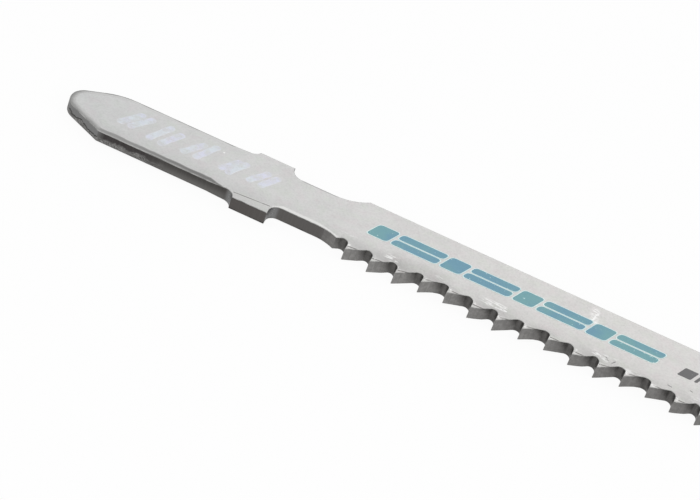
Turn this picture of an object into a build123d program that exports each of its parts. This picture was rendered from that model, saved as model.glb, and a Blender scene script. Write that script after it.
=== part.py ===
from build123d import *
from math import cos, pi, radians, sin, tan
import os

# Jigsaw blade with a T-shaped tang, blanked from one strip of steel, with its tooth edge wave set.
# X runs along the blade away from the tang, the teeth are on the -Y side, and the plate lies in XY.
# The origin is on the lower face, midway between the lugs' edges, at the shoulder that takes the pull.

# Driving dimensions, in millimetres and degrees
thickness = 1.35
overall_length = 100.0

# Tang with its nose, bevelled long edges and two lugs
tang_length = 21.4
tang_width = 6.45
tang_offset = 0.1
nose_taper = 28.0
nose_tip_radius = 1.7
nose_tip_flat = 0.1
nose_tip_offset = 0.15
nose_back_radius = 6.0
bevel_width = 0.58
bevel_depth = 0.09
bevel_run_out = 1.7
lug_width = 7.9
lug_length = 3.5
relief_length = 0.9

# Neck between the lugs and the toothed body, flaring out to the body on both sides
neck_width = 5.2
neck_length = 7.65
neck_back_fillet = 1.25
neck_tooth_fillet = 0.9
back_flare_length = 3.25
tooth_flare_length = 3.15

# Toothed body: its width is taken at the first tooth, and the tooth line leans away from the back edge
first_tooth = 7.75
body_width = 7.7
tooth_line_tilt = 0.83
tooth_pitch = 2.5
tooth_land = 0.07
flank_angle = 33.0
gullet_radius = 0.5
tip_land = 3.2
tip_angle = 65.0
tip_tooth_radius = 0.9
tip_back_radius = 2.2

# Wave set: the edge swings to each face in turn, from nothing at the bend line to most at the tips
set_at_tips = 0.27
set_at_roots = 0.227
set_period = 4
first_trough = 2.735
root_height = 0.8
bend_height = 2.0
bend_steps = 4

# Levels worked out from the sizes above
nose_x = -tang_length
tip_x = overall_length - tang_length
tang_back = tang_offset + tang_width / 2
tang_front = tang_offset - tang_width / 2
tang_end = -lug_length - relief_length
bevel_end = tang_end - bevel_run_out
lug_side = lug_width / 2
neck_back = tang_offset + neck_width / 2
neck_front = tang_offset - neck_width / 2
first_tip_y = lug_side - body_width
tooth_count = int((tip_x - tip_land - first_tooth) / tooth_pitch)
last_trough = first_trough + set_period * int((tooth_count - first_trough) / set_period)
wave_end = tooth_count + 1

# The tooth line has its own X along the tips and Y into the blade, with 0, 0 at the first tip
tilt = radians(tooth_line_tilt)
tooth_line = Plane(origin=(first_tooth, first_tip_y, 0), x_dir=(cos(tilt), -sin(tilt), 0), z_dir=(0, 0, 1))


# Point of the tooth line at a place along the blade
def tips_at(x):
    return (x, first_tip_y - tan(tilt) * (x - first_tooth))


# Swing of the wave at a tooth number, from -1 to 1, eased in before the first tooth and out past the last
def wave_at(tooth):
    if tooth < first_trough:
        return -sin(pi / 2 * tooth / first_trough)
    if tooth > last_trough:
        return -cos(pi / 2 * (tooth - last_trough) / (wave_end - last_trough))
    return -cos(2 * pi * (tooth - first_trough) / set_period)


# Reach of the wave at a height above the tips: nearly even over the teeth, then fading to the bend line
def reach_at(height):
    if height <= root_height:
        return set_at_tips + (set_at_roots - set_at_tips) * height / root_height
    return set_at_roots * (1 - sin(pi / 2 * (height - root_height) / (bend_height - root_height)))


# Gullets with a straight flank, a round root and an upright rake face, one on each side of every tooth
apex = (tooth_pitch - tooth_land) * tan(radians(flank_angle))
with BuildSketch(tooth_line) as gullets:
    with Locations(*[(tooth_pitch * (tooth - 1), 0) for tooth in range(tooth_count + 1)]):
        Polygon((tooth_land, 0), (tooth_pitch, apex), (tooth_pitch, -body_width), (tooth_land, -body_width))
    fillet(gullets.vertices().group_by(Axis.Y)[-1], gullet_radius)

# Outline from where the bevels end to the tip: lugs with their relief arcs, neck, flares, body and gullets
back_fillet = min(neck_back_fillet, 0.9 * (lug_side - neck_back))
tooth_fillet = min(neck_tooth_fillet, 0.9 * (lug_side + neck_front))
slant = radians(tip_angle)
tooth_corner = tips_at(tip_x + tip_tooth_radius * ((1 + cos(slant)) / sin(slant) - 1))
back_corner = (tooth_corner[0] - (lug_side - tooth_corner[1]) / tan(slant), lug_side)
with BuildSketch() as outline:
    with BuildLine():
        Line((tang_end, tang_front), (bevel_end, tang_front))
        Line((bevel_end, tang_front), (bevel_end, tang_back))
        Line((bevel_end, tang_back), (tang_end, tang_back))
        TangentArc((tang_end, tang_back), (-lug_length, lug_side), tangent=(1, 0))
        Polyline((-lug_length, lug_side), (0, lug_side), (0, neck_back + back_fillet))
        TangentArc((0, neck_back + back_fillet), (back_fillet, neck_back), tangent=(0, -1))
        Line((back_fillet, neck_back), (neck_length - back_flare_length, neck_back))
        TangentArc((neck_length - back_flare_length, neck_back), (neck_length, lug_side), tangent=(1, 0))
        Polyline((neck_length, lug_side), back_corner, tooth_corner, tips_at(first_tooth))
        TangentArc((first_tooth - tooth_flare_length, neck_front), tips_at(first_tooth), tangent=(1, 0))
        Line((first_tooth - tooth_flare_length, neck_front), (tooth_fillet, neck_front))
        TangentArc((tooth_fillet, neck_front), (0, neck_front - tooth_fillet), tangent=(-1, 0))
        Polyline((0, neck_front - tooth_fillet), (0, -lug_side), (-lug_length, -lug_side))
        TangentArc((tang_end, tang_front), (-lug_length, -lug_side), tangent=(1, 0))
    make_face()
    fillet(outline.vertices().sort_by(Axis.X)[-1], tip_tooth_radius)
    fillet(outline.vertices().filter_by_position(Axis.X, back_corner[0], back_corner[0]), tip_back_radius)
    add(gullets.sketch, mode=Mode.SUBTRACT)

# Flat plate: the outline without the band along the tooth line that the wave bends
with BuildSketch(tooth_line) as band:
    with Locations((-tooth_pitch, bend_height)):
        Rectangle(tooth_pitch * wave_end, 2 * body_width, align=(Align.MIN, Align.MAX))
with BuildSketch() as flat_outline:
    add(outline.sketch)
    add(band.sketch, mode=Mode.SUBTRACT)

# Waved band: sections along the tooth line, lofted from below the tips to the bend line and cut to outline
wave_stations = [half / 2 for half in range(2 * wave_end + 1)]
bend = bend_height - root_height
bend_heights = [root_height + bend * step / bend_steps for step in range(bend_steps + 1)]
with BuildPart() as waved_band:
    for height in [-root_height] + bend_heights:
        base = tooth_line.from_local_coords((0, height, 0))
        lower = [(tooth_pitch * (tooth - 1), reach_at(height) * wave_at(tooth)) for tooth in wave_stations]
        upper = [(along, swing + thickness) for along, swing in lower]
        with BuildSketch(Plane(origin=base, x_dir=tooth_line.x_dir, z_dir=-tooth_line.y_dir)):
            with BuildLine():
                Spline(*lower)
                Line(lower[-1], upper[-1])
                Spline(*upper)
                Line(upper[0], lower[0])
            make_face()
    loft(ruled=True)
    extrude(outline.sketch, amount=2 * thickness, both=True, mode=Mode.INTERSECT)

# Tang outline: both sides taper to a nose rounded by two equal arcs
taper = radians(nose_taper)
nose_half = nose_tip_radius * tan((pi / 2 - taper) / 2) + nose_tip_flat / 2
nose_back = nose_tip_offset + nose_half
nose_front = nose_tip_offset - nose_half
back_taper_x = nose_x + (tang_back - nose_back) / tan(taper)
with BuildSketch() as tang_outline:
    Polygon(
        (bevel_end, tang_front),
        (bevel_end, tang_back),
        (back_taper_x, tang_back),
        (nose_x, nose_back),
        (nose_x, nose_front),
        (nose_x + (nose_front - tang_front) / tan(taper), tang_front),
    )
    fillet(tang_outline.vertices().filter_by_position(Axis.X, back_taper_x, back_taper_x), nose_back_radius)
    fillet(tang_outline.vertices().group_by(Axis.X)[0], nose_tip_radius)

# Run-outs: towards the lugs each of the four long bevels narrows to a point where its relief arc starts
section = Plane(origin=(bevel_end, 0, 0), x_dir=(0, 1, 0), z_dir=(1, 0, 0))
with BuildPart() as run_outs:
    for edge, inner in ((tang_front, tang_front + bevel_width), (tang_back, tang_back - bevel_width)):
        for level, inward in ((0, 1), (thickness, -1)):
            with BuildSketch(section, mode=Mode.PRIVATE) as corner:
                Polygon((edge, level), (inner, level), (edge, level + inward * bevel_depth))
            loft([corner.sketch, Vertex(tang_end, edge, level)])

# The blade: the tang with both faces bevelled all round its free edge, the flat plate and the waved band
with BuildPart() as blade:
    extrude(tang_outline.sketch, amount=thickness)
    for face in blade.faces().filter_by(Axis.Z):
        chamfer(face.edges().sort_by(Axis.X)[:-1], bevel_width, bevel_depth, reference=face)
    extrude(flat_outline.sketch, amount=thickness)
    add(run_outs.part, mode=Mode.SUBTRACT)
    add(waved_band.part)

blade.part.label = "blade"
os.makedirs("parts", exist_ok=True)
export_step(blade.part, "parts/blade.step")
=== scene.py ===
import math
import random

import bmesh
import bpy
from mathutils import Matrix, Vector


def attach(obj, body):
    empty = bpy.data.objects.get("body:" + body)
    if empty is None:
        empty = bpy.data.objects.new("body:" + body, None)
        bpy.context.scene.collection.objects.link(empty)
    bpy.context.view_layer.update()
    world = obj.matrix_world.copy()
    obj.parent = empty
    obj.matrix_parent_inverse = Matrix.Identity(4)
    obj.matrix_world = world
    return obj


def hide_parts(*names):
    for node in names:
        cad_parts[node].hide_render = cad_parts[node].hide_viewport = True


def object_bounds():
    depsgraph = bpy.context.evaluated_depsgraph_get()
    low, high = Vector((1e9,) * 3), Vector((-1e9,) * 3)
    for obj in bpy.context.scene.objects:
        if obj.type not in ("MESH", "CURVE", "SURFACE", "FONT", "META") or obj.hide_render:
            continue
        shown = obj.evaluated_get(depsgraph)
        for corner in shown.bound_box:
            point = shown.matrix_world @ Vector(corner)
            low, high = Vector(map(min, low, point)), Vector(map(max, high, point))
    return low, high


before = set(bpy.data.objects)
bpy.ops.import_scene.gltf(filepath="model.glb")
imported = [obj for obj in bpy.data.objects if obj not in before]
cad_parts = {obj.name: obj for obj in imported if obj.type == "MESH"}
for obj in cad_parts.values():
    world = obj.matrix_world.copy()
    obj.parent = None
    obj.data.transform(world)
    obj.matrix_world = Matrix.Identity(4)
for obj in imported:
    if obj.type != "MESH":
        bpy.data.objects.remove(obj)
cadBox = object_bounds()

# Jigsaw blade lying on a white table. Lengths are in millimetres and angles in degrees unless said, and mm
# makes metres of them. X runs along the blade from the shoulder of its lugs to its tip, with the tang on the
# minus side, Y runs across it, with the teeth on the minus side, and Z rises from its lower face.
mm = 0.001

# Blade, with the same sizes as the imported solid, and how finely its mesh is made again
steel = {
    "thickness": 1.35,
    "firstTooth": 7.75,
    "firstTip": -3.75,
    "tilt": 0.83,  # of the tooth line
    "pitch": 2.5,
    "teeth": 27,
    "gulletDepth": 1.65,
    "setAtTips": 0.27,
    "setAtRoots": 0.227,
    "setPeriod": 4,  # teeth
    "firstTrough": 2.735,  # teeth
    "rootHeight": 0.8,
    "bendHeight": 2.0,
    "bandMargin": 0.001,
    "mergeGap": 0.0001,
    "flatAngle": 0.4,
    "rowStep": 0.2,
    "columnsPerTooth": 8,
    "cutGap": 0.0001,
    "rimWidth": 0.045,
    "rimSteps": 2,
    "smoothAngle": 24.0,
    "faceUpright": 0.995,  # how upright a face's normal is, at least
    "bevelUpright": 0.5,
}


# Node tree of a material or of the world: the calls add nodes and give back their outputs
class Nodes:
    def __init__(self, owner):
        owner.use_nodes = True
        self.tree = owner.node_tree
        self.tree.nodes.clear()

    def add(self, kind, **settings):
        made = self.tree.nodes.new("ShaderNode" + kind)
        for name, value in settings.items():
            setattr(made, name, value)
        return made

    def put(self, socket, value):
        if isinstance(value, bpy.types.NodeSocket):
            self.tree.links.new(value, socket)
        else:
            socket.default_value = value

    def calc(self, operation, *values):
        made = self.add("Math", operation=operation)
        for socket, value in zip(made.inputs, values):
            self.put(socket, value)
        return made.outputs[0]

    # Ends the tree in an output of the first shader, with a share of the second
    def show(self, output, share, first, second):
        mixed = self.add("MixShader")
        for socket, value in zip(mixed.inputs, (share, first.outputs[0], second.outputs[0])):
            self.put(socket, value)
        self.put(self.add(output).inputs["Surface"], mixed.outputs[0])


# Finish of one surface, read at the piece's own places in millimetres. It holds the colour laid so far
class Finish(Nodes):
    def __init__(self, name):
        self.material = bpy.data.materials.new(name)
        super().__init__(self.material)
        self.shader = self.add("BsdfPrincipled")
        self.put(self.add("OutputMaterial").inputs["Surface"], self.shader.outputs[0])
        place = self.add("TexCoord")
        self.normal = place.outputs["Normal"]
        self.where = self.scaled(place.outputs["Object"], 1 / mm)

    def vector(self, operation, *values):
        made = self.add("VectorMath", operation=operation)
        for socket, value in zip(made.inputs, values):
            self.put(socket, value)
        return made.outputs["Value" if operation in ("LENGTH", "DOT_PRODUCT") else "Vector"]

    def scaled(self, vector, factor):
        made = self.add("VectorMath", operation="SCALE")
        self.put(made.inputs[0], vector)
        self.put(made.inputs["Scale"], factor)
        return made.outputs[0]

    def part(self, vector, axis):
        made = self.add("SeparateXYZ")
        self.put(made.inputs[0], vector)
        return made.outputs[axis]

    def turned(self, stretch, turn=0.0, shift=(0, 0, 0)):
        made = self.add("Mapping")
        self.put(made.inputs["Vector"], self.where)
        self.put(made.inputs["Location"], shift)
        self.put(made.inputs["Rotation"], (0, 0, math.radians(turn)))
        self.put(made.inputs["Scale"], stretch)
        return made.outputs[0]

    def noise(self, scale, detail=2.0, rough=0.5, where=None):
        made = self.add("TexNoise")
        self.put(made.inputs["Vector"], where or self.where)
        self.put(made.inputs["Scale"], scale)
        self.put(made.inputs["Detail"], detail)
        self.put(made.inputs["Roughness"], rough)
        return made.outputs[0]

    # Goes softly from low to high while the value goes from start to end
    def ease(self, value, start, end, low=0.0, high=1.0):
        made = self.add("MapRange", interpolation_type="SMOOTHSTEP")
        for name, number in (("From Min", start), ("From Max", end), ("To Min", low), ("To Max", high)):
            self.put(made.inputs[name], number)
        self.put(made.inputs["Value"], value)
        return made.outputs[0]

    # Most where the value is within inner of the middle, and nothing from outer on
    def band(self, value, middle, outer, inner, most=1.0):
        gap = self.calc("ABSOLUTE", self.calc("SUBTRACT", value, middle))
        return self.ease(gap, outer, inner, 0, most)

    def all(self, *shares):
        product = shares[0]
        for share in shares[1:]:
            product = self.calc("MULTIPLY", product, share)
        return product

    def blend(self, share, first, second, kind="MIX"):
        made = self.add("Mix", data_type="RGBA", blend_type=kind)
        self.put(made.inputs[0], share)
        for socket, colour in ((made.inputs[6], first), (made.inputs[7], second)):
            self.put(socket, (*colour, 1) if isinstance(colour, tuple) else colour)
        return made.outputs[2]

    # Covers the colour so far with a tone, or darkens it by a shade
    def paint(self, share, tone):
        self.colour = self.blend(share, self.colour, tone)

    def darken(self, share, shade):
        self.colour = self.blend(share, self.colour, shade, "MULTIPLY")

    def bump(self, height, depth):
        made = self.add("Bump")
        self.put(made.inputs["Height"], height)
        self.put(made.inputs["Distance"], depth * mm)
        return made.outputs[0]

    def specks(self, scale, size, share, shift):
        made = self.add("TexVoronoi")
        self.put(made.inputs["Vector"], self.turned((1, 1, 1), 0, shift))
        self.put(made.inputs["Scale"], scale)
        near = self.ease(made.outputs["Distance"], size, size * 0.4)
        picked = self.calc("GREATER_THAN", self.part(made.outputs["Color"], 0), 1 - share)
        return self.all(near, picked)

    def scratches(self, turn, share, shift):
        lines = self.noise(1.0, 1.0, 0.4, self.turned((0.35, 9.0, 1.0), turn, shift))
        return self.ease(lines, 1 - share, 1 - share + 0.06)

    # Height above the lower face before the set bent it, kept in the mesh
    def level(self):
        return self.add("Attribute", attribute_name="level").outputs["Fac"]

    # How far a point of the upper face is from the nearest of some straight strokes
    def nearest(self, strokes):
        closest = None
        for ends in strokes:
            start, end = (Vector((x, y, steel["thickness"])) for x, y in ends)
            run = end - start
            offset = self.vector("SUBTRACT", self.where, start)
            along = self.calc("DIVIDE", self.vector("DOT_PRODUCT", offset, run), run.length_squared)
            along.node.use_clamp = True
            distance = self.vector("LENGTH", self.vector("SUBTRACT", offset, self.scaled(run, along)))
            closest = distance if closest is None else self.calc("MINIMUM", closest, distance)
        return closest

    def byStrokes(self, strokes, outer, inner, most=1.0):
        return self.ease(self.nearest(strokes), outer, inner, 0, most)

    # Height above the tips, and how far along its own pitch a point is from its tooth's rake
    def toothPlace(self):
        along = self.calc("SUBTRACT", self.part(self.where, 0), steel["firstTooth"])
        lean = self.calc("MULTIPLY", along, math.tan(math.radians(steel["tilt"])))
        height = self.calc("ADD", self.calc("SUBTRACT", self.part(self.where, 1), steel["firstTip"]), lean)
        return height, self.calc("FRACT", self.calc("DIVIDE", along, steel["pitch"]))

    def finish(self, metal, roughness, normal=None):
        self.put(self.shader.inputs["Base Color"], self.colour)
        self.put(self.shader.inputs["Metallic"], metal)
        self.put(self.shader.inputs["Roughness"], roughness)
        if normal:
            self.put(self.shader.inputs["Normal"], normal)
        return self.material


# Tones, worn marks, and painted light and shade of the flat faces. A stroke goes from one place to another,
# each along and across the blade, and a reach says how far from a stroke or line its tone ends, where it is
# full, and its greatest share
wearAndPaintedLight = {
    "toneAlong": (-24, 34),
    "noseTone": (0.573, 0.577, 0.575),
    "bodyTone": (0.612, 0.603, 0.592),
    # painted shade towards the teeth, where the set's wave tilts the face
    "toothwardAcross": (-0.6, -3.6),
    "toothwardPaintedShade": (0.9, 0.9, 0.9),
    "cloudShade": (0.965, 0.965, 0.965),
    "pinkShade": (1.0, 0.975, 0.985),
    "greenShade": (0.98, 1.0, 0.975),
    "grainShade": (0.95, 0.95, 0.95),
    "fineLines": ((24, 0.3), (-31, 0.28)),  # turn and share of each set of fine scratches
    "fineLineShare": 0.18,
    "fineLine": (0.6, 0.6, 0.595),
    "pits": (1.1, 0.08, 0.3),  # scale, size and share
    "pitShare": 0.35,
    "pit": (0.22, 0.22, 0.225),
    "flecks": (1.3, 0.1, 0.14),
    "fleckShare": 0.6,
    "fleck": (0.62, 0.62, 0.62),
    "bumpDepth": 0.006,
    "roughness": (0.4, 0.5),
    # left by the set: a crease with its height above the tips at the rake and its rise over a pitch, painted
    # shade along it and on the bent face below it, and painted highlights on burrs by the rake
    "toothedAlong": (6.4, 6.9),
    "creaseHeight": 0.46,
    "creaseRise": 0.44,
    "creaseReach": (0.075, 0.03),
    "creaseOnPitch": (0.92, 0.7),
    "crease": (0.16, 0.154, 0.15),
    "belowCreaseShare": 0.35,
    "belowCreasePaintedShade": (0.54, 0.534, 0.515),
    "burrOnPitch": (0.2, 0.05),
    "burrTop": (1.1, 0.8),
    "burrFoot": (0.3, 0.4),
    "burrGlintAndShadow": (0.78, 0.775, 0.76),
    # painted shade where the set's wave dips
    "dipShadeStroke": ((12.4, -2.4), (16.4, -2.2)),
    "dipShadeReach": (1.5, 0.2, 0.85),
    "dipPaintedShade": (0.87, 0.87, 0.865),
    # painted shade along the far edges, where they turn away
    "farEdges": (((0.35, 3.2), (1.3, 2.7)), ((1.3, 2.7), (4.5, 2.7)), ((4.5, 2.7), (6.3, 3.2)),
                 ((6.3, 3.2), (7.4, 3.85)), ((-6.0, 3.3), (-4.5, 3.35))),
    "farEdgeReach": (0.22, 0.06, 0.75),
    "farEdgePaintedShade": (0.3, 0.3, 0.3),
    # painted highlight along the near edge of the neck
    "nearEdges": (((0.3, -2.75), (1.0, -2.24)), ((1.0, -2.24), (4.6, -2.26)), ((4.6, -2.26), (6.6, -2.85))),
    "nearGleamReach": (0.3, 0.08, 0.6),
    "nearGleam": (0.76, 0.755, 0.745),
    "lugStrip": ((-3.5, -3.5), (-0.2, -3.25)),
    "lugStripReach": (0.34, 0.2, 0.2),
    "lugStripTone": (0.52, 0.51, 0.49),
    "lugLine": ((-3.61, -3.18), (-0.14, -2.87)),
    "lugLineReach": (0.08, 0.03),
    "lugLineTone": (0.185, 0.18, 0.175),
    "lugRimOffset": 0.12,
    "lugRimReach": (0.07, 0.02, 0.5),
    "lugRimTone": (0.57, 0.564, 0.552),
    "scratches": (((33.17, -2.5), (33.74, -3.09)), ((34.1, -2.6), (33.8, -3.1)),
                  ((39.23, -2.49), (39.59, -2.55)), ((41.3, -1.9), (41.5, -1.95))),
    "scratchReach": (0.09, 0.03, 0.7),
    "darkScratch": (0.12, 0.12, 0.12),
    "scuffs": (((21.4, -2.6), (21.9, -2.5)), ((22.3, -2.55), (23.3, -2.5)), ((11.6, -2.4), (11.9, -2.4)),
               ((32.2, -2.5), (33.1, -2.8)), ((35.5, -3.8), (36.3, -3.2)),
               ((30.8, 2.2), (31.0, 3.0)), ((30.6, 1.3), (30.8, 2.0)), ((-6.4, 1.6), (-6.35, 1.6))),
    "scuffReach": (0.14, 0.05),
    "scuffShare": 0.9,
    "scuffTone": (0.82, 0.82, 0.815),
    "rubs": (((21.2, -2.3), (22.9, -2.2)), ((32.2, -2.6), (33.4, -2.7)), ((34.5, -3.4), (36.4, -3.2)),
             ((30.6, 3.1), (31.0, 0.6)), ((11.6, -2.3), (12.2, -2.4))),
    "rubReach": (0.6, 0.15),
    "paleByTeethTop": (2.4, 1.7),
    "rubTone": (0.82, 0.82, 0.81),
    # marker: middle and half size of each smudge, and how its strokes lie
    "smudges": (((-14.9, 0.6), (1.0, 1.4)), ((-11.8, 0.2), (1.2, 1.5)), ((-8.4, 0.4), (1.2, 1.4)),
                ((-4.9, 0.2), (0.7, 1.2)), ((-1.9, 0.3), (1.1, 1.2))),
    "strokesEach": 2,
    "strokeLean": 62.0,
    "leanSpread": 5,
    "strokeShift": 0.15,
    "strokeLengths": (0.8, 1.0),  # of the smudge's half width
    "strokeSeed": 4,
    "strokeWaver": 0.06,
    "inkReach": (0.46, 0.3),
    "markerInk": (0.69, 0.715, 0.9),
    "fadedInk": (0.68, 0.755, 0.83),
    "inkMetal": 0.85,  # how much of the steel's shine the ink takes away
    "borderOffset": 0.36,
    "borderReach": (0.1, 0.02),
    "inkBorder": (0.84, 0.85, 0.9),
}


def smudgeStrokes():
    draw = random.Random(wearAndPaintedLight["strokeSeed"])
    shift, spread = wearAndPaintedLight["strokeShift"], wearAndPaintedLight["leanSpread"]
    strokes = []
    for (x, y), (halfLength, halfWidth) in wearAndPaintedLight["smudges"]:
        for stroke in range(wearAndPaintedLight["strokesEach"]):
            across = halfLength * ((2 * stroke + 1) / wearAndPaintedLight["strokesEach"] - 1)
            middle = Vector((x + across, y + draw.uniform(-shift, shift)))
            lean = math.radians(wearAndPaintedLight["strokeLean"] + draw.uniform(-spread, spread))
            half = Vector((math.cos(lean), math.sin(lean))) * halfWidth * draw.uniform(*wearAndPaintedLight["strokeLengths"])
            strokes.append((middle - half, middle + half))
    return strokes


# Flat faces of the plate: tumbled satin steel with faint blotches, pits and fine scratches
def faceSteel(name, shift):
    look = Finish(name)
    along, across = look.part(look.where, 0), look.part(look.where, 1)
    cloud = look.noise(0.55, 3.0, 0.55, look.turned((1, 1, 1), 0, shift))
    tint = look.noise(0.9, 2.0, 0.5, look.turned((1, 1, 1), 0, (shift[0] + 30, 5, 0)))
    grain = look.noise(5.0, 4.0, 0.65)
    look.colour = look.blend(look.ease(along, *wearAndPaintedLight["toneAlong"]), wearAndPaintedLight["noseTone"], wearAndPaintedLight["bodyTone"])
    # Painted shade: the face darkens towards the teeth, where the set's wave tilts it
    look.darken(look.ease(across, *wearAndPaintedLight["toothwardAcross"]), wearAndPaintedLight["toothwardPaintedShade"])
    look.darken(look.ease(cloud, 0.35, 0.65), wearAndPaintedLight["cloudShade"])
    look.darken(look.ease(tint, 0.5, 0.7), wearAndPaintedLight["pinkShade"])
    look.darken(look.ease(tint, 0.5, 0.3), wearAndPaintedLight["greenShade"])
    look.darken(look.ease(grain, 0.4, 0.7), wearAndPaintedLight["grainShade"])
    fineLines = look.calc("MAXIMUM", *[look.scratches(*lines, shift) for lines in wearAndPaintedLight["fineLines"]])
    look.paint(look.all(fineLines, wearAndPaintedLight["fineLineShare"]), wearAndPaintedLight["fineLine"])
    look.paint(look.all(look.specks(*wearAndPaintedLight["pits"], shift), wearAndPaintedLight["pitShare"]), wearAndPaintedLight["pit"])
    look.paint(look.all(look.specks(*wearAndPaintedLight["flecks"], (3, 8, 1)), wearAndPaintedLight["fleckShare"]), wearAndPaintedLight["fleck"])
    metal = 1.0
    if name == "upper_face":
        streaks = look.ease(look.noise(1.0, 3.0, 0.65, look.turned((1.4, 6.0, 1.0), 28)), 0.45, 0.6, 0, 0.8)
        height, onPitch = look.toothPlace()
        toothed = look.ease(along, *wearAndPaintedLight["toothedAlong"])
        setShadeAndGlints(look, height, onPitch, toothed)
        edgeTones(look)
        knocks(look)
        rubs(look, height, toothed, streaks)
        metal = look.calc("SUBTRACT", 1.0, look.all(markerInk(look, streaks), wearAndPaintedLight["inkMetal"]))
    normal = look.bump(look.noise(2.2, 4.0, 0.6), wearAndPaintedLight["bumpDepth"])
    return look.finish(metal, look.ease(grain, 0.3, 0.7, *wearAndPaintedLight["roughness"]), normal)


# Left by the set at each tooth: painted shade along a broken crease and on the bent face below it,
# and painted highlights on burrs by the rake
def setShadeAndGlints(look, height, onPitch, toothed):
    creaseAt = look.calc("ADD", look.calc("MULTIPLY", onPitch, wearAndPaintedLight["creaseRise"]), wearAndPaintedLight["creaseHeight"])
    crease = look.calc("SUBTRACT", height, creaseAt)
    # painted shade on the tooth face that the set bends, below the crease
    below = look.all(look.ease(crease, 0.0, -0.04), toothed)
    look.paint(look.all(below, wearAndPaintedLight["belowCreaseShare"]), wearAndPaintedLight["belowCreasePaintedShade"])
    # painted shade along the crease line
    line = look.all(look.band(crease, 0, *wearAndPaintedLight["creaseReach"]), toothed)
    line = look.all(line, look.ease(onPitch, *wearAndPaintedLight["creaseOnPitch"]))
    broken = look.ease(look.noise(1.4, 2.0), 0.3, 0.5, 0.6, 1.0)
    look.paint(look.all(line, broken), wearAndPaintedLight["crease"])
    # painted highlights on burrs by the rake
    byRake = look.all(look.ease(onPitch, *wearAndPaintedLight["burrOnPitch"]), look.ease(height, *wearAndPaintedLight["burrTop"]),
                      look.ease(height, *wearAndPaintedLight["burrFoot"]))
    look.paint(look.all(byRake, toothed, look.ease(look.noise(3.6, 2.0), 0.5, 0.6)), wearAndPaintedLight["burrGlintAndShadow"])


# Painted shade before the first teeth where the set's wave dips, painted shade along the far edges,
# and a painted highlight along the near edge of the neck
def edgeTones(look):
    look.darken(look.byStrokes((wearAndPaintedLight["dipShadeStroke"],), *wearAndPaintedLight["dipShadeReach"]), wearAndPaintedLight["dipPaintedShade"])
    look.paint(look.byStrokes(wearAndPaintedLight["farEdges"], *wearAndPaintedLight["farEdgeReach"]), wearAndPaintedLight["farEdgePaintedShade"])
    look.paint(look.byStrokes(wearAndPaintedLight["nearEdges"], *wearAndPaintedLight["nearGleamReach"]), wearAndPaintedLight["nearGleam"])


# Shallow mark pressed along the near lug, its edge drawn as a line of painted shade with a bright rim on each
# side;
# dark scratches and whitish scuffs
def knocks(look):
    fine = look.noise(4.0, 2.0)
    look.paint(look.byStrokes((wearAndPaintedLight["lugStrip"],), *wearAndPaintedLight["lugStripReach"]), wearAndPaintedLight["lugStripTone"])
    fromLine = look.nearest((wearAndPaintedLight["lugLine"],))
    look.paint(look.band(fromLine, wearAndPaintedLight["lugRimOffset"], *wearAndPaintedLight["lugRimReach"]), wearAndPaintedLight["lugRimTone"])
    # painted shade along the edge of the pressed mark
    pressed = look.all(look.ease(fromLine, *wearAndPaintedLight["lugLineReach"]), look.ease(fine, 0.3, 0.5, 0.5, 0.85))
    look.paint(pressed, wearAndPaintedLight["lugLineTone"])
    look.paint(look.byStrokes(wearAndPaintedLight["scratches"], *wearAndPaintedLight["scratchReach"]), wearAndPaintedLight["darkScratch"])
    scuff = look.all(look.byStrokes(wearAndPaintedLight["scuffs"], *wearAndPaintedLight["scuffReach"]), look.ease(fine, 0.42, 0.52))
    look.paint(look.all(scuff, wearAndPaintedLight["scuffShare"]), wearAndPaintedLight["scuffTone"])


# Whitish rubbed patches, and whitish patches by the teeth, streaked across the blade
def rubs(look, height, toothed, streaks):
    rubbed = look.all(look.byStrokes(wearAndPaintedLight["rubs"], *wearAndPaintedLight["rubReach"]), streaks)
    patches = look.ease(look.noise(0.4, 2.0), 0.56, 0.66, 0, 0.6)
    paleByTeeth = look.all(look.ease(height, *wearAndPaintedLight["paleByTeethTop"]), patches, streaks, toothed)
    look.paint(look.calc("MAXIMUM", rubbed, paleByTeeth), wearAndPaintedLight["rubTone"])


# Rubbed marker: soft parallel strokes, whiter at their borders and thin where worn. Gives back its share
def markerInk(look, streaks):
    ragged = look.ease(look.noise(1.3, 3.0), 0.3, 0.7, -wearAndPaintedLight["strokeWaver"], wearAndPaintedLight["strokeWaver"])
    reach = look.calc("ADD", look.nearest(smudgeStrokes()), ragged)
    thin = look.ease(look.noise(1.3, 4.0, 0.7), 0.36, 0.6, 0.14, 0.58)
    ink = look.all(look.ease(reach, *wearAndPaintedLight["inkReach"]), thin)
    border = look.all(look.band(reach, wearAndPaintedLight["borderOffset"], *wearAndPaintedLight["borderReach"]), streaks)
    marker = look.blend(look.ease(look.noise(0.6, 1.0), 0.45, 0.6), wearAndPaintedLight["markerInk"], wearAndPaintedLight["fadedInk"])
    look.paint(ink, look.blend(border, marker, wearAndPaintedLight["inkBorder"]))
    return ink


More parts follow.
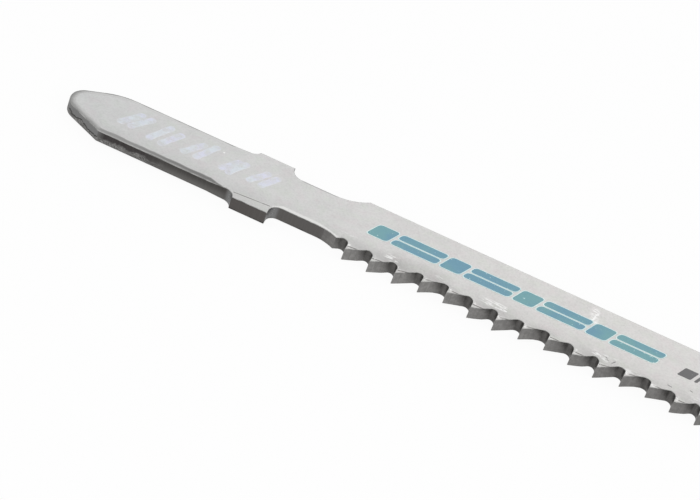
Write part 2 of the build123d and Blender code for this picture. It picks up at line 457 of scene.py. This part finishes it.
# Bevels pressed round the tang. Where two tones are given, the first is nearer to the nose
bevels = {
    "inner": (0.57, 0.57, 0.565),
    "strip": ((0.3, 0.298, 0.295), (0.2, 0.198, 0.195)),
    "outer": ((0.36, 0.358, 0.354), (0.27, 0.268, 0.265)),
    "softInner": (0.56, 0.56, 0.555),
    "taperOuter": (0.31, 0.31, 0.306),
    "backOuter": ((0.2, 0.2, 0.198), (0.28, 0.28, 0.276)),
    "streakShade": (0.9, 0.9, 0.9),
    "stripAlong": (-16, -7),
    "outerAlong": (-12, -7),
    "taperAlong": (-17.6, -17.1),
    "backAlong": (-17, -15),
    "backAcross": (0.9, 1.7),
    # where the tones meet, measured from the middle of the plate's thickness
    "stripFrom": (0.672, 0.642),
    "outerFrom": (0.612, 0.6),
    "taperFrom": (0.668, 0.595),
    "backFrom": (0.616, 0.6),
    "waver": 0.006,
    "bumpDepth": 0.006,
    "roughness": 0.42,
}


# Painted shade on the slopes: the bevel by the teeth has a dark strip with a lighter painted highlight outside
# it, and the tapers and back are softer, with painted shade towards their outer edges
def pressedSteel():
    look = Finish("pressed_bevel")
    along, across = look.part(look.where, 0), look.part(look.where, 1)
    fromMiddle = look.calc("SUBTRACT", look.part(look.where, 2), steel["thickness"] / 2)
    waver = look.ease(look.noise(0.8, 2.0), 0.3, 0.7, -bevels["waver"], bevels["waver"])
    fromMiddle = look.calc("ADD", look.calc("ABSOLUTE", fromMiddle), waver)
    # painted shade on the slope by the teeth, and a painted highlight along its outer edge
    strip = look.blend(look.ease(along, *bevels["stripAlong"]), *bevels["strip"])
    outer = look.blend(look.ease(along, *bevels["outerAlong"]), *bevels["outer"])
    strip = look.blend(look.ease(fromMiddle, *bevels["outerFrom"]), strip, outer)
    straight = look.blend(look.ease(fromMiddle, *bevels["stripFrom"]), bevels["inner"], strip)
    # painted shade towards the outer edge of the nose's tapers
    taperShare = look.ease(fromMiddle, *bevels["taperFrom"])
    tapered = look.blend(taperShare, bevels["softInner"], bevels["taperOuter"])
    look.colour = look.blend(look.ease(along, *bevels["taperAlong"]), tapered, straight)
    # painted shade on the outer half of the bevel on the far side
    backOuter = look.blend(look.ease(along, *bevels["backAlong"]), *bevels["backOuter"])
    back = look.blend(look.ease(fromMiddle, *bevels["backFrom"]), bevels["softInner"], backOuter)
    look.paint(look.ease(across, *bevels["backAcross"]), back)
    streaks = look.noise(1.0, 2.0, 0.5, look.turned((0.8, 8, 8)))
    look.darken(look.ease(streaks, 0.4, 0.7, 0, 0.5), bevels["streakShade"])
    return look.finish(1.0, bevels["roughness"], look.bump(streaks, bevels["bumpDepth"]))


# Punched sides of the plate
sides = {
    "lugs": (0.104, 0.096, 0.092),
    "neck": (0.116, 0.11, 0.106),
    "tangTop": (0.075, 0.071, 0.068),
    "tangFoot": (0.15, 0.145, 0.14),
    "nose": (0.055, 0.05, 0.05),
    # painted light: the nose's taper and corner, and sides that face along the blade, are lighter
    "noseTaper": (0.17, 0.168, 0.166),
    "turnedAway": (0.2, 0.2, 0.2),
    "tornDark": (0.1, 0.097, 0.094),
    "tornLight": (0.2, 0.197, 0.192),
    "tornLine": (0.38, 0.375, 0.37),
    "reliefLine": (0.36, 0.358, 0.352),
    "nick": (0.045, 0.043, 0.042),
    "tear": (0.035, 0.035, 0.035),
    "underRim": (0.05, 0.048, 0.046),
    "streak": (0.16, 0.156, 0.15),
    "lugsAlong": (-0.3, 0.3),
    "tangAlong": (-4.0, -4.6),
    "reliefAlong": (-4.6, -4.2),
    "nosewardAlong": (-9.5, -13.5),
    "taperAlong": (-16.5, -17.3),
    "crispAlong": (-17.4, -17.0),
    "tangLevels": (1.15, 0.15),
    "tornLevels": (0.42, 0.82),
    "nickLevels": (0.26, 0.1),
    # heights over the torn line
    "crispEdge": (0.02, -0.05),
    "softEdge": (0.14, -0.2),
    "tearReach": (0.1, 0.03),
    "rimLevels": (1.2, 1.3),
    "contours": 14,  # torn lines over the noise's whole range
    "bumpDepth": 0.012,
    "roughness": 0.5,
}


# Dark and smooth above, broken and rougher below, most of all round the nose
def shearedSteel():
    look = Finish("sheared_side")
    level = look.level()
    along = look.part(look.where, 0)
    turnedAway = look.calc("ABSOLUTE", look.part(look.normal, 0))
    noseward = look.ease(along, *sides["nosewardAlong"])
    torn = look.noise(0.9, 3.0, 0.6, look.turned((1, 1, 0.3)))
    above = look.calc("SUBTRACT", level, look.ease(torn, 0.3, 0.7, *sides["tornLevels"]))
    fine = look.noise(2.4, 4.0, 0.65, look.turned((0.7, 0.7, 2.0)))
    hills = look.noise(0.8, 1.0, 0.4, look.turned((0.8, 0.8, 1.8)))
    contours = look.calc("FRACT", look.calc("MULTIPLY", hills, sides["contours"]))
    traced = look.band(contours, 0.5, 0.16, 0.05, 0.6)
    # smooth part, from the neck to the nose
    tang = look.blend(look.ease(level, *sides["tangLevels"]), sides["tangTop"], sides["tangFoot"])
    look.colour = look.blend(look.ease(along, *sides["lugsAlong"]), sides["lugs"], sides["neck"])
    look.paint(look.ease(along, *sides["tangAlong"]), tang)
    look.paint(noseward, sides["nose"])
    # painted highlight on the nose's taper and its rounded corner
    look.paint(look.ease(along, *sides["taperAlong"], 0, 0.8), sides["noseTaper"])
    # painted light: sides grow lighter the more they face along the blade
    look.paint(look.ease(turnedAway, 0.02, 0.46), sides["turnedAway"])
    inRelief = look.all(look.ease(turnedAway, 0.3, 0.6), look.ease(along, *sides["reliefAlong"]))
    look.paint(look.all(traced, inRelief), sides["reliefLine"])
    # torn part, crisp on the nose's tapers and soft behind them
    rough = look.blend(look.ease(fine, 0.35, 0.65), sides["tornDark"], sides["tornLight"])
    rough = look.blend(traced, rough, sides["tornLine"])
    crisp, soft = look.ease(above, *sides["crispEdge"]), look.ease(above, *sides["softEdge"])
    tornIn = look.blend(look.ease(along, *sides["crispAlong"]), crisp, soft)
    look.paint(look.all(tornIn, noseward), rough)
    nicks = look.all(look.ease(level, *sides["nickLevels"]), look.ease(fine, 0.48, 0.56, 0, 0.7))
    look.paint(nicks, sides["nick"])
    tear = look.all(look.band(above, 0, *sides["tearReach"]), noseward, look.ease(turnedAway, 0.1, 0.3))
    look.paint(look.all(tear, 0.9), sides["tear"])
    look.paint(look.ease(level, *sides["rimLevels"], 0, 0.4), sides["underRim"])
    upright = look.noise(1.0, 2.0, 0.5, look.turned((7, 7, 0.4)))
    look.paint(look.ease(upright, 0.45, 0.7, 0, 0.14), sides["streak"])
    return look.finish(1.0, sides["roughness"], look.bump(fine, sides["bumpDepth"]))


# Milled flanks of the teeth
flanks = {
    "firstTips": (0.264, 0.259, 0.253),
    "lastTips": (0.22, 0.215, 0.21),
    "high": (0.11, 0.105, 0.101),
    "root": (0.07, 0.067, 0.065),
    "mark": (0.16, 0.155, 0.15),
    "burrGlintAndShadow": (0.03, 0.029, 0.028),
    "mottle": (0.9, 1.1),
    "tipsAlong": (12, 34),
    "highHeights": (0.1, 1.8),
    "rootOnPitch": (0.66, 0.76),
    "rakeOnPitch": (0.97, 0.93),
    "burrOnPitch": (0.3, 0.5),
    "burrHeights": (0.3, 0.6),
    "burrLevels": (1.2, 1.31),
    "bumpDepth": 0.006,
    "roughness": 0.45,
}


# Painted reflection and shade: lighter towards the tips and dark in the gullets, with upright cutter marks
# and a painted shadow under the burrs at the top
def milledSteel():
    look = Finish("milled_teeth")
    along = look.part(look.where, 0)
    height, onPitch = look.toothPlace()
    tips = look.blend(look.ease(along, *flanks["tipsAlong"]), flanks["firstTips"], flanks["lastTips"])
    # painted reflection and shade: lighter at the tips, darker up into the gullet
    look.colour = look.blend(look.ease(height, *flanks["highHeights"]), tips, flanks["high"])
    beforeRake = look.ease(onPitch, *flanks["rakeOnPitch"])
    # painted shade at the root of each gullet
    look.paint(look.all(look.ease(onPitch, *flanks["rootOnPitch"], 0, 0.6), beforeRake), flanks["root"])
    marks = look.noise(1.0, 2.0, 0.5, look.turned((7, 7, 0.4)))
    look.paint(look.ease(marks, 0.42, 0.7, 0, 0.35), flanks["mark"])
    mottled = look.ease(look.noise(2.4, 4.0, 0.7), 0.42, 0.62, *flanks["mottle"])
    look.colour = look.scaled(look.colour, mottled)
    # painted shadow under the burrs along the top of the flanks
    atTop = look.ease(look.level(), *flanks["burrLevels"])
    burrUp = look.ease(height, *flanks["burrHeights"], 0, 0.75)
    look.paint(look.all(atTop, look.ease(onPitch, *flanks["burrOnPitch"]), burrUp), flanks["burrGlintAndShadow"])
    return look.finish(1.0, flanks["roughness"], look.bump(marks, flanks["bumpDepth"]))


# Worn edges
rims = {
    "dull": (0.2, 0.2, 0.195),
    "polished": (0.42, 0.42, 0.41),
    # painted shade on the rims of the far side
    "back": (0.2, 0.2, 0.2),
    "backAcross": (0.5, 1.5),
    "roughness": 0.45,
}


# Polished in places, with painted shade on the far side
def rimSteel():
    look = Finish("worn_rim")
    across = look.part(look.where, 1)
    look.colour = look.blend(look.ease(look.noise(1.2, 3.0, 0.6), 0.35, 0.65), rims["dull"], rims["polished"])
    look.paint(look.ease(across, *rims["backAcross"], 0, 0.8), rims["back"])
    return look.finish(1.0, rims["roughness"])


# Places of the blade's finishes among its materials
upperFace, lowerFace, pressedBevel, shearedSide, milledTeeth, wornRim = range(6)

# Blade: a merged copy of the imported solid. Its wave set is taken out, a worn rim is rounded along every edge
# of its faces, the toothed band is cut into a fine even grid, and the set is bent in again.
bandStart = steel["firstTooth"] - steel["pitch"]
toothedEnd = steel["firstTooth"] + steel["pitch"] * steel["teeth"]
wavesToLast = int((steel["teeth"] - steel["firstTrough"]) / steel["setPeriod"])
lastTrough = steel["firstTrough"] + steel["setPeriod"] * wavesToLast


def tipHeight(place):
    slope = math.tan(math.radians(steel["tilt"]))
    return place.y / mm - steel["firstTip"] + slope * (place.x / mm - steel["firstTooth"])


def waveAt(tooth):
    if tooth < steel["firstTrough"]:
        return -math.sin(math.pi / 2 * max(tooth, 0) / steel["firstTrough"])
    if tooth > lastTrough:
        return -math.cos(math.pi / 2 * min((tooth - lastTrough) / (steel["teeth"] + 1 - lastTrough), 1))
    return -math.cos(2 * math.pi * (tooth - steel["firstTrough"]) / steel["setPeriod"])


def reachAt(height):
    if height <= steel["rootHeight"]:
        return steel["setAtTips"] + (steel["setAtRoots"] - steel["setAtTips"]) * height / steel["rootHeight"]
    fade = (height - steel["rootHeight"]) / (steel["bendHeight"] - steel["rootHeight"])
    return steel["setAtRoots"] * (1 - math.sin(math.pi / 2 * min(fade, 1)))


def setSwing(place):
    along = (place.x / mm - steel["firstTooth"]) / math.cos(math.radians(steel["tilt"]))
    return reachAt(tipHeight(place)) * waveAt(1 + along / steel["pitch"])


def inBand(place):
    return place.x / mm > bandStart and tipHeight(place) < steel["bendHeight"] + steel["bandMargin"]


def takeSetOut(bm):
    for vert in bm.verts:
        if inBand(vert.co):
            above = vert.co.z / mm - setSwing(vert.co) > steel["thickness"] / 2
            vert.co.z = steel["thickness"] * mm if above else 0
    bmesh.ops.dissolve_limit(bm, verts=bm.verts, edges=bm.edges, angle_limit=math.radians(steel["flatAngle"]))


# Which finish a face takes, from how upright its normal is and where it lies
def finishOf(face):
    if abs(face.normal.z) > steel["faceUpright"]:
        return upperFace if face.normal.z > 0 else lowerFace
    if abs(face.normal.z) > steel["bevelUpright"]:
        return pressedBevel
    middle = face.calc_center_median()
    toothed = bandStart < middle.x / mm < toothedEnd
    return milledTeeth if toothed and tipHeight(middle) < steel["gulletDepth"] else shearedSide


def roundRim(bm):
    corners = []
    for edge in bm.edges:
        upright = [face.material_index in (shearedSide, milledTeeth) for face in edge.link_faces]
        if upright[0] != upright[1]:
            corners.append(edge)
    rim = bmesh.ops.bevel(bm, geom=corners, offset=steel["rimWidth"] * mm, segments=steel["rimSteps"],
                          profile=0.5, affect="EDGES", material=-1, clamp_overlap=False)
    for face in rim["faces"]:
        face.material_index = wornRim


def cutAcross(bm, place, normal, faces):
    parts = {part for face in faces for part in (face, *face.edges, *face.verts)}
    bmesh.ops.bisect_plane(bm, geom=list(parts), plane_co=place, plane_no=normal, dist=steel["cutGap"] * mm)


# Rows at even heights above the tips, and columns at even steps along the tooth line
def cutBand(bm):
    tilt = math.radians(steel["tilt"])
    across = Vector((math.sin(tilt), math.cos(tilt), 0))
    tip = Vector((steel["firstTooth"], steel["firstTip"], 0)) * mm
    cutAcross(bm, Vector((bandStart, 0, 0)) * mm, (1, 0, 0), bm.faces)
    for row in range(round(steel["bendHeight"] / steel["rowStep"])):
        height = steel["bendHeight"] - row * steel["rowStep"]
        toothed = [face for face in bm.faces if face.calc_center_median().x / mm > bandStart]
        cutAcross(bm, tip + across * height * mm, across, toothed)
    for column in range(1, (steel["teeth"] + 2) * steel["columnsPerTooth"]):
        along = Vector((bandStart + column * steel["pitch"] / steel["columnsPerTooth"], 0, 0)) * mm
        banded = [face for face in bm.faces if inBand(face.calc_center_median())]
        cutAcross(bm, along, (1, 0, 0), banded)


# The level before the set is kept for the finishes of the sides
def putSetIn(bm):
    level = bm.verts.layers.float.new("level")
    for vert in bm.verts:
        vert[level] = vert.co.z / mm
        if inBand(vert.co):
            vert.co.z += setSwing(vert.co) * mm


def markSharp(bm):
    for edge in bm.edges:
        kinds = {face.material_index for face in edge.link_faces}
        edge.smooth = len(kinds) == 1 and edge.calc_face_angle(0) < math.radians(steel["smoothAngle"])


# Object of a finished bmesh
def pieceOf(name, bm, mesh, finishes):
    bm.to_mesh(mesh)
    bm.free()
    for finish in finishes:
        mesh.materials.append(finish)
    piece = bpy.data.objects.new(name, mesh)
    bpy.context.scene.collection.objects.link(piece)
    return piece


def steelBlade():
    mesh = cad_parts["blade"].data.copy()
    mesh.materials.clear()
    bm = bmesh.new()
    bm.from_mesh(mesh)
    bmesh.ops.remove_doubles(bm, verts=bm.verts, dist=steel["mergeGap"] * mm)
    takeSetOut(bm)
    for face in bm.faces:
        face.material_index = finishOf(face)
        face.smooth = True
    roundRim(bm)
    cutBand(bm)
    putSetIn(bm)
    markSharp(bm)
    finishes = (faceSteel("upper_face", (0, 0, 0)), faceSteel("lower_face", (11, 3, 0)), pressedSteel(),
                shearedSteel(), milledSteel(), rimSteel())
    piece = pieceOf("steel_blade", bm, mesh, finishes)
    piece.modifiers.new("flat_faces_rule", "WEIGHTED_NORMAL").keep_sharp = True
    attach(piece, "root")
    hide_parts("blade")
    print("blade:", len(mesh.polygons), "faces")


# Print: plain slanted patches of teal ink on a pale border, and a row of small grey ones
prints = {
    "slant": 22.0,
    "left": 8.7,
    "low": -0.5,
    "high": 1.5,
    "repeats": 4,
    "pitch": 7.25,
    "blockLength": 2.0,
    "barLength": 4.55,
    "gap": 0.35,
    "slit": 0.22,
    "corner": 0.34,
    "cornerSteps": 4,
    "border": 0.09,
    "inkProud": 0.02,
    "borderProud": 0.012,
    "sunk": 0.01,
    "smallLeft": 39.6,
    "smallLow": -0.45,
    "smallHeight": 1.35,
    "smallLengths": (1.3, 0.3, 0.9, 0.9, 0.5, 1.1, 0.5),
    "smallGap": 0.35,
    "smallCorner": 0.1,
    # two tones of each ink, what shows through its chips, and how high the noise is where it is chipped
    "paleInk": ((0.63, 0.8, 0.8), (0.7, 0.82, 0.8), (0.76, 0.76, 0.75), 0.62),
    "tealInk": ((0.135, 0.305, 0.405), (0.16, 0.355, 0.385), (0.63, 0.8, 0.8), 0.66),
    "greyInk": ((0.12, 0.118, 0.12), (0.15, 0.147, 0.146), (0.6, 0.6, 0.6), 0.68),
    "chipBlur": 0.03,
    "coatShade": (0.86, 0.9, 0.95),
    "bumpDepth": 0.004,
    "roughness": 0.5,
}


# Left end, lower edge, length and height of each patch
def tealPatches():
    height = prints["high"] - prints["low"]
    barHeight = (height - prints["slit"]) / 2
    patches = []
    for repeat in range(prints["repeats"]):
        left = prints["left"] + repeat * prints["pitch"]
        patches.append((left, prints["low"], prints["blockLength"], height))
        for low in (prints["low"], prints["high"] - barHeight):
            barLeft = left + prints["blockLength"] + prints["gap"]
            patches.append((barLeft, low, prints["barLength"], barHeight))
    return patches


def greyPatches():
    patches, left = [], prints["smallLeft"]
    for length in prints["smallLengths"]:
        patches.append((left, prints["smallLow"], length, prints["smallHeight"]))
        left += length + prints["smallGap"]
    return patches


def printedPiece(name, patches, grow, corner, proud, ink):
    bm = bmesh.new()
    for left, low, length, height in patches:
        verts = bmesh.ops.create_grid(bm, x_segments=1, y_segments=1, size=0.5)["verts"]
        bmesh.ops.scale(bm, vec=(length + 2 * grow, height + 2 * grow, 1), verts=verts)
        bmesh.ops.translate(bm, vec=(left + length / 2, low + height / 2, 0), verts=verts)
        for vert in verts:
            vert.co.x += (vert.co.y - prints["low"]) * math.tan(math.radians(prints["slant"]))
        bmesh.ops.bevel(bm, geom=verts, offset=corner, segments=prints["cornerSteps"], profile=0.5,
                        affect="VERTICES", material=-1)
    bmesh.ops.translate(bm, vec=(0, 0, steel["thickness"] + proud), verts=bm.verts)
    bmesh.ops.reverse_faces(bm, faces=[face for face in bm.faces if face.normal.z < 0])
    bmesh.ops.solidify(bm, geom=bm.faces[:], thickness=proud + prints["sunk"])
    bmesh.ops.scale(bm, vec=(mm, mm, mm), verts=bm.verts)
    bmesh.ops.recalc_face_normals(bm, faces=bm.faces)
    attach(pieceOf(name, bm, bpy.data.meshes.new(name), (ink,)), "root")


# Matt print with an uneven coat, pinholes and chips
def printInk(name, first, second, bare, chipped):
    look = Finish(name)
    coat = look.noise(0.35, 3.0, 0.5)
    look.colour = look.blend(look.ease(coat, 0.35, 0.65), first, second)
    look.darken(look.ease(look.noise(1.5, 4.0, 0.6), 0.4, 0.7, 0, 0.35), prints["coatShade"])
    worn = look.noise(2.4, 4.0, 0.7, look.turned((1, 1, 1), 0, (7, 2, 0)))
    chips = look.ease(worn, chipped, chipped + prints["chipBlur"])
    holes = look.calc("MAXIMUM", chips, look.specks(1.4, 0.09, 0.2, (5, 1, 0)))
    look.paint(look.all(holes, 0.8), bare)
    return look.finish(look.all(holes, 0.6), prints["roughness"], look.bump(coat, prints["bumpDepth"]))


def printedMarks():
    printedPiece("printed_border", tealPatches(), prints["border"], prints["corner"] + prints["border"] / 2,
                 prints["borderProud"], printInk("pale_ink", *prints["paleInk"]))
    printedPiece("printed_patches", tealPatches(), 0.0, prints["corner"], prints["inkProud"],
                 printInk("teal_ink", *prints["tealInk"]))
    printedPiece("printed_ticks", greyPatches(), 0.0, prints["smallCorner"], prints["inkProud"],
                 printInk("grey_ink", *prints["greyInk"]))
    print("print:", len(tealPatches()) + len(greyPatches()), "patches")


# Studio: white floor that keeps the shadow, soft lamps and an even pale world
studio = {
    "floorSize": 3000.0,
    "floorWhite": 0.88,
    "backdropShare": 0.93,  # how much of the floor's white stands above its shadows
    "worldLight": 0.78,
    # place, aim, size, watts
    "lamps": (
        ((-330, -330, 430), (20, 0, 0), 600, 1.05),
        ((360, -240, 450), (25, 0, 0), 600, 1.05),
        ((94, 505, 385), (30, 0, 0), 600, 0.55),
    ),
    "cameraPlace": (30.37, -216.81, 166.86),
    "cameraAim": (8.15, -2.97, 0.675),
    "cameraRoll": 20.9,
    "lens": 154.3,
    "sensor": 36.0,
    "clipStart": 10.0,
}


# Share of the plain backdrop for rays straight from the camera, off metal or through glass
def whiteFor(nodes, seen):
    path = nodes.add("LightPath")
    straight = nodes.calc("MAXIMUM", path.outputs["Is Camera Ray"], path.outputs["Is Glossy Ray"])
    clear = nodes.calc("MAXIMUM", straight, path.outputs["Is Transmission Ray"])
    return nodes.calc("MULTIPLY", clear, seen)


def makeFloor():
    bm = bmesh.new()
    bmesh.ops.create_grid(bm, x_segments=1, y_segments=1, size=studio["floorSize"] / 2 * mm)
    bmesh.ops.translate(bm, verts=bm.verts, vec=(0, 0, cadBox[0].z))
    material = bpy.data.materials.new("white_floor")
    nodes = Nodes(material)
    matt = nodes.add("BsdfDiffuse")
    nodes.put(matt.inputs["Color"], (*[studio["floorWhite"]] * 3, 1))
    nodes.show("OutputMaterial", whiteFor(nodes, studio["backdropShare"]), matt, nodes.add("Emission"))
    pieceOf("floor", bm, bpy.data.meshes.new("floor"), (material,))


def makeWorld():
    world = bpy.data.worlds.new("studio")
    nodes = Nodes(world)
    light = nodes.add("Background")
    nodes.put(light.inputs["Strength"], studio["worldLight"])
    nodes.show("OutputWorld", whiteFor(nodes, 1.0), light, nodes.add("Background"))
    bpy.context.scene.world = world


def lookAt(thing, place, aim, roll=0.0):
    place, aim = Vector(place) * mm, Vector(aim) * mm
    turn = (aim - place).to_track_quat("-Z", "Y").to_matrix() @ Matrix.Rotation(math.radians(roll), 3, "Z")
    thing.matrix_world = Matrix.Translation(place) @ turn.to_4x4()


def makeLamps():
    for number, (place, aim, size, watts) in enumerate(studio["lamps"]):
        lamp = bpy.data.lights.new(f"softbox_{number}", "AREA")
        lamp.size = size * mm
        lamp.energy = watts
        box = bpy.data.objects.new(lamp.name, lamp)
        bpy.context.scene.collection.objects.link(box)
        lookAt(box, place, aim)


def makeCamera():
    data = bpy.data.cameras.new("camera")
    data.lens = studio["lens"]
    data.sensor_width = studio["sensor"]
    data.sensor_fit = "HORIZONTAL"
    data.clip_start = studio["clipStart"] * mm
    camera = bpy.data.objects.new("camera", data)
    bpy.context.scene.collection.objects.link(camera)
    lookAt(camera, studio["cameraPlace"], studio["cameraAim"], studio["cameraRoll"])
    bpy.context.scene.camera = camera


steelBlade()
printedMarks()
makeFloor()
makeWorld()
makeLamps()
makeCamera()
bpy.context.scene.view_settings.view_transform = "Standard"
print("studio:", len(studio["lamps"]), "lamps")
